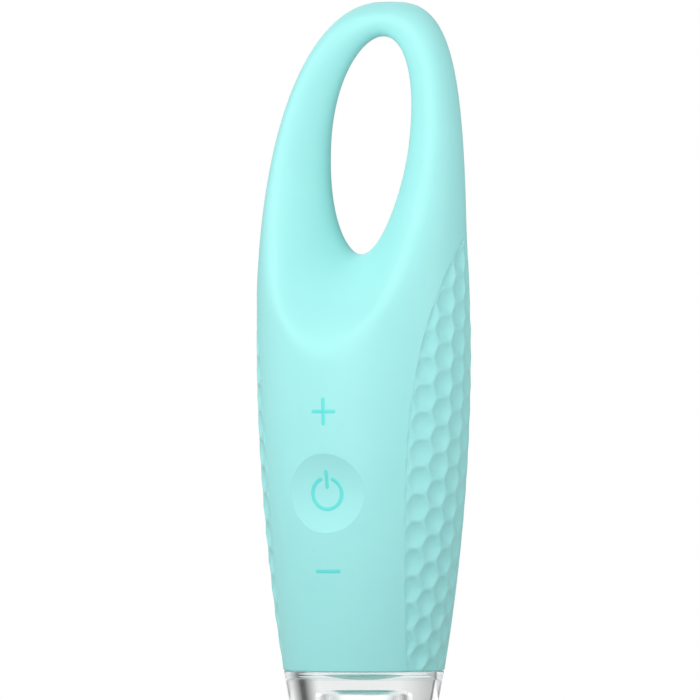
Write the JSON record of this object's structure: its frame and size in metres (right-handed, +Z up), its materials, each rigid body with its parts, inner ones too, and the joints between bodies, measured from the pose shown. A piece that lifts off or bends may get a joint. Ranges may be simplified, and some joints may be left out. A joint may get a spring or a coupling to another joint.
{
  "type": "eye massager wand",
  "caption": "Hand-held heated eye massager: a silicone-skinned wand with a leaning open loop, front keys, honeycomb side grips and a clear standing base.",
  "frame": {"origin": "centre of the flat foot of the clear base, on the body's axis", "axes": "+Z up along the body towards the loop, front with the keys towards -Y, +X to the right seen from the front"},
  "size_m": [0.0396, 0.0396, 0.14],
  "materials": {
    "silicone": "matte soft-touch silicone",
    "casing_plastic": "moulded ABS",
    "core_plastic": "moulded nylon",
    "clear_acrylic": "polished clear acrylic",
    "cap_plastic": "moulded ABS in the skin's colour",
    "screw_steel": "zinc plated steel",
    "board_laminate": "fibreglass laminate with solder mask",
    "switch_metal": "stamped steel cover",
    "chip_epoxy": "moulded epoxy",
    "led_lens": "clear epoxy lens",
    "heater_polyimide": "polyimide film with copper tracks",
    "motor_steel": "drawn steel can",
    "weight_metal": "sintered tungsten alloy",
    "boot_rubber": "moulded rubber",
    "cell_wrap": "shrink wrap",
    "tab_nickel": "nickel strip",
    "lead_insulation": "silicone insulated wire",
    "socket_plastic": "moulded nylon",
    "seal_rubber": "silicone seal"
  },
  "bodies": {
    "wand": {"silicone_sleeve": "silicone", "switch_bodies": "switch_metal", "circuit_board": "board_laminate", "control_chips": "chip_epoxy", "status_led": "led_lens", "casing_front": "casing_plastic", "casing_rear": "casing_plastic", "casing_screws": "screw_steel", "loop_core": "core_plastic", "heater_film": "heater_polyimide", "temperature_sensor": "chip_epoxy", "vibration_motor": "motor_steel", "motor_boot": "boot_rubber", "battery_cell": "cell_wrap", "battery_tray": "core_plastic", "battery_tabs": "tab_nickel", "battery_leads": "lead_insulation", "motor_leads": "lead_insulation", "charging_socket": "socket_plastic", "socket_gasket": "seal_rubber", "bottom_cap": "cap_plastic", "base_seal": "seal_rubber", "clear_base": "clear_acrylic", "base_floor": "clear_acrylic"},
    "plus_button": {"plus_key": "silicone", "plus_plunger": "casing_plastic", "plus_switch_stem": "chip_epoxy"},
    "power_button": {"power_key": "silicone", "power_plunger": "casing_plastic", "power_switch_stem": "chip_epoxy"},
    "minus_button": {"minus_key": "silicone", "minus_plunger": "casing_plastic", "minus_switch_stem": "chip_epoxy"},
    "motor_rotor": {"motor_weight": "weight_metal"}
  },
  "joints": [
    {"name": "plus_press", "type": "slide", "parent": "wand", "child": "plus_button", "axis": [0, 1, 0], "range_m": [0, 0.0005], "stiffness_N_per_m": 900},
    {"name": "power_press", "type": "slide", "parent": "wand", "child": "power_button", "axis": [0, 1, 0], "range_m": [0, 0.0005], "stiffness_N_per_m": 900},
    {"name": "minus_press", "type": "slide", "parent": "wand", "child": "minus_button", "axis": [0, 1, 0], "range_m": [0, 0.0005], "stiffness_N_per_m": 900},
    {"name": "motor_spin", "type": "hinge", "parent": "wand", "child": "motor_rotor", "pos_m": [0, 0, 0.0798], "axis": [0, 0, 1], "continuous": true}
  ]
}
